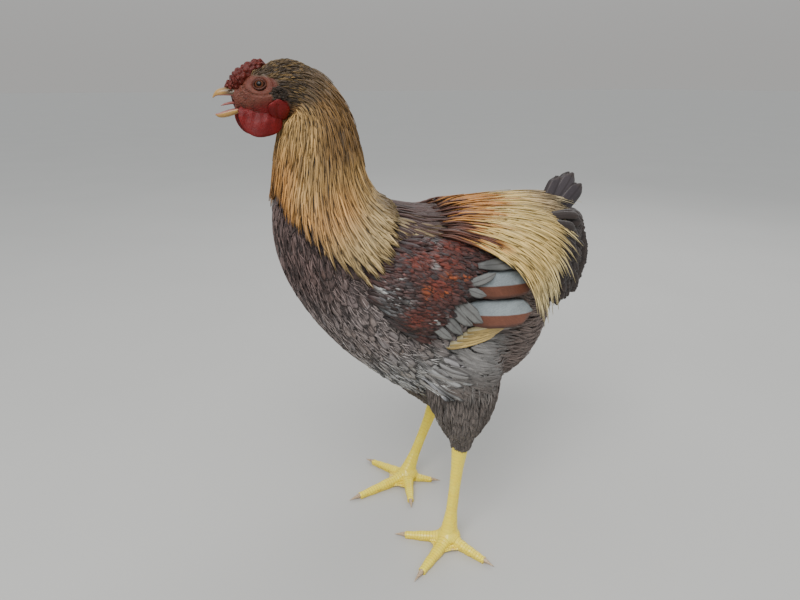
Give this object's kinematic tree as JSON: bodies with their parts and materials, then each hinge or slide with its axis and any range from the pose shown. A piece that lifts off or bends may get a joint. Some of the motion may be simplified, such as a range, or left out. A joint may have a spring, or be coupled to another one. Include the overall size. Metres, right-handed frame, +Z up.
{
  "type": "wyandotte cockerel",
  "caption": "Life-size still model of a young wyandotte-type cockerel, standing with its neck stretched forward and its beak open.",
  "frame": {"origin": "on the floor, under the middle of the bird's bounding box", "axes": "+Z up, -X the way the bird faces, -Y its left side"},
  "size_m": [0.3894, 0.232, 0.4977],
  "materials": {
    "body_plumage": "small dark brown and slate feathers with paler edges, matt and soft",
    "hackle": "buff to straw hackle feathers, silky",
    "saddle_hackle": "gold to straw saddle feathers, silky",
    "wing_plumage": "blue-grey flight feathers with chestnut lower vanes, red-brown coverts",
    "tail_plumage": "near-black feathers with a faint violet sheen",
    "bare_skin": "bare red skin, finely pebbled",
    "comb_flesh": "red comb and wattle flesh, soft satin",
    "mouth_lining": "moist pink",
    "beak_horn": "dark horn at the root of the upper half, yellow horn elsewhere, satin",
    "leg_scales": "yellow scaled skin, satin gloss",
    "claw_horn": "pale horn, satin",
    "eye": "orange-brown iris round a black pupil, wet gloss"
  },
  "bodies": {
    "root": {"beak_lower": "beak_horn", "beak_upper": "beak_horn", "claw_hind_left": "claw_horn", "claw_hind_right": "claw_horn", "claw_inner_left": "claw_horn", "claw_inner_right": "claw_horn", "claw_middle_left": "claw_horn", "claw_middle_right": "claw_horn", "claw_outer_left": "claw_horn", "claw_outer_right": "claw_horn", "comb": "comb_flesh", "earlobe_left": "comb_flesh", "earlobe_right": "comb_flesh", "eye_left": "eye", "eye_right": "eye", "foot_left": "leg_scales", "foot_right": "leg_scales", "head": "bare_skin", "neck": "hackle", "saddle_left": "saddle_hackle", "saddle_right": "saddle_hackle", "shank_left": "leg_scales", "shank_right": "leg_scales", "tail": "tail_plumage", "thigh_left": "body_plumage", "thigh_right": "body_plumage", "tongue": "mouth_lining", "torso": "body_plumage", "wattle_left": "comb_flesh", "wattle_right": "comb_flesh", "wing_left": "wing_plumage", "wing_right": "wing_plumage"}
  },
  "joints": []
}
